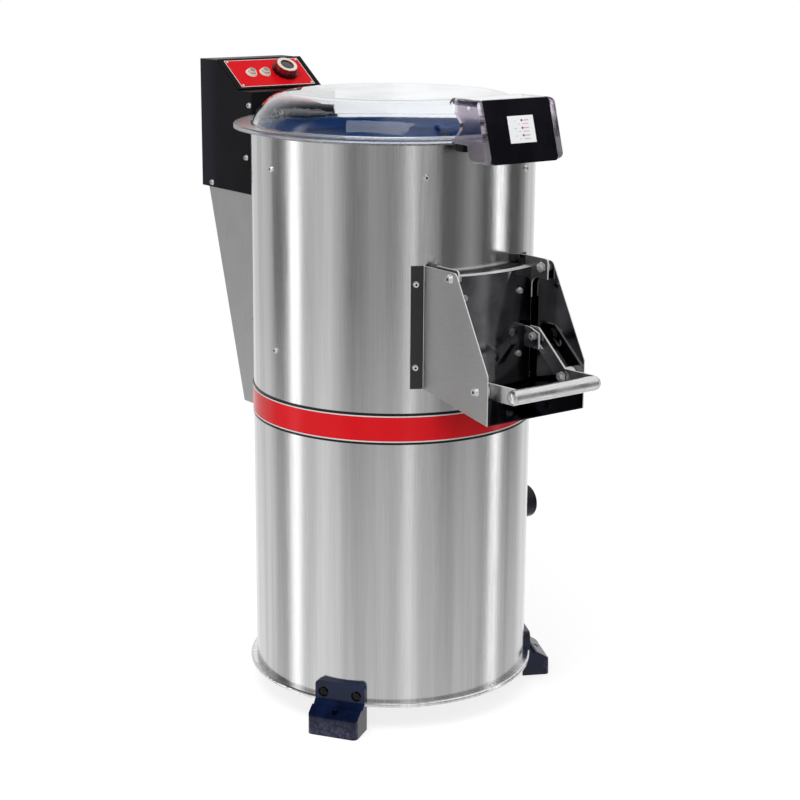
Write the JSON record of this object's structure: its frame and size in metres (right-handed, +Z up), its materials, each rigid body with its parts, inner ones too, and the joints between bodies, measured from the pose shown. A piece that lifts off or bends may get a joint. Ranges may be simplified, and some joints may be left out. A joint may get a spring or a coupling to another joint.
{
  "type": "industrial drum potato peeler",
  "caption": "Floor-standing drum vegetable peeler with a clear hinged lid, abrasive disc, front discharge chute with a lever-opened door, rear control box and side drain.",
  "frame": {"origin": "on the drum axis at floor level, at the centre of the anchor bolt circle", "axes": "+Z up along the drum axis, the discharge chute faces -Y, the control box is at +Y, the drain leaves along +X"},
  "size_m": [0.633, 1.013, 1.1716],
  "materials": {
    "drum_steel": "vertically brushed stainless sheet",
    "polished_steel": "mirror-polished stainless sheet",
    "cast_steel": "painted castings and pulleys",
    "fastener_steel": "zinc-plated and stainless fasteners",
    "band_red": "gloss red with black edges and fine white lines",
    "box_black": "satin black powder coat",
    "panel_red": "gloss red film with a black border",
    "black_plastic": "moulded blue-black plastic",
    "gloss_black": "gloss black plate",
    "white_nylon": "turned white nylon",
    "button_white": "pale push-button caps",
    "clear_lid": "clear moulded polycarbonate",
    "abrasive": "silicon-carbide grit in blue-black resin",
    "seal_rubber": "dark-blue rubber",
    "black_rubber": "black rubber",
    "motor_paint": "grey-painted aluminium",
    "brass_fitting": "turned brass"
  },
  "bodies": {
    "machine": {"upper_drum": "drum_steel", "lower_drum": "drum_steel", "rim_bead": "drum_steel", "rim_seal": "seal_rubber", "base_bead": "drum_steel", "trim_band": "band_red", "abrasive_liner": "abrasive", "chamber_pan": "drum_steel", "bearing_housing": "cast_steel", "bearings": "fastener_steel", "shaft_seal": "black_rubber", "drain_elbow": "black_plastic", "drain_spigot": "black_plastic", "motor_body": "motor_paint", "motor_plate": "drum_steel", "drive_belt": "black_rubber", "base_plate": "drum_steel", "feet": "black_plastic", "foot_bolts": "fastener_steel", "control_box": "box_black", "box_cover": "box_black", "fascia": "panel_red", "button_bezels": "fastener_steel", "box_screws": "fastener_steel", "rear_duct": "drum_steel", "timer_body": "white_nylon", "switch_block": "black_plastic", "cable_gland": "black_plastic", "water_inlet": "brass_fitting", "chute_left": "polished_steel", "chute_right": "polished_steel", "chute_floor": "polished_steel", "door_hinge_bolts": "fastener_steel", "bail_pivot_bolts": "fastener_steel", "pivot_spacers": "white_nylon", "hinge_bracket": "polished_steel", "hinge_pin": "fastener_steel", "lid_switch": "black_plastic", "drum_screws": "fastener_steel"},
    "lid": {"lid_dome": "clear_lid", "handle_panel": "gloss_black", "hinge_leaf": "polished_steel", "lid_magnet": "black_plastic"},
    "disc": {"abrasive_disc": "abrasive", "main_shaft": "fastener_steel", "disc_nut": "fastener_steel", "driven_pulley": "cast_steel"},
    "motor_rotor": {"motor_shaft": "fastener_steel", "motor_pulley": "cast_steel"},
    "door": {"door_skin": "polished_steel", "door_liner": "polished_steel", "door_gasket": "black_rubber", "link_bolts": "fastener_steel", "door_screws": "fastener_steel"},
    "bail": {"bail_arms": "polished_steel", "bail_tube": "polished_steel"},
    "knob": {"timer_knob": "black_plastic"},
    "start": {"start_button": "button_white"},
    "stop": {"stop_button": "button_white"}
  },
  "joints": [
    {"name": "lid_hinge", "type": "hinge", "parent": "machine", "child": "lid", "pos_m": [0, 0.308, 1.0767], "axis": [-1, 0, 0], "range_deg": [0, 78]},
    {"name": "disc_spin", "type": "hinge", "parent": "machine", "child": "disc", "pos_m": [0, 0, 0.631], "axis": [0, 0, 1], "continuous": true},
    {"name": "motor_spin", "type": "hinge", "parent": "machine", "child": "motor_rotor", "pos_m": [0, 0.154, 0.35], "axis": [0, 0, 1], "continuous": true},
    {"name": "door_swing", "type": "hinge", "parent": "machine", "child": "door", "pos_m": [0, -0.31, 0.849], "axis": [-1, 0, 0], "range_deg": [0, 24]},
    {"name": "bail_pivot", "type": "hinge", "parent": "machine", "child": "bail", "pos_m": [0, -0.384, 0.668], "axis": [1, 0, 0], "range_deg": [0, 31.5]},
    {"name": "knob_turn", "type": "hinge", "parent": "machine", "child": "knob", "pos_m": [0.035, 0.417, 1.142], "axis": [0, -0.5692, 0.8222], "range_deg": [-300, 0]},
    {"name": "start_press", "type": "slide", "parent": "machine", "child": "start", "axis": [0, 0.5692, -0.8222], "range_m": [0, 0.003], "stiffness_N_per_m": 400},
    {"name": "stop_press", "type": "slide", "parent": "machine", "child": "stop", "axis": [0, 0.5692, -0.8222], "range_m": [0, 0.003], "stiffness_N_per_m": 400}
  ],
  "couplings": [
    {"joint": "motor_spin", "follows": "disc_spin", "ratio": 3.125},
    {"joint": "bail_pivot", "follows": "door_swing", "ratio": 1.3}
  ]
}
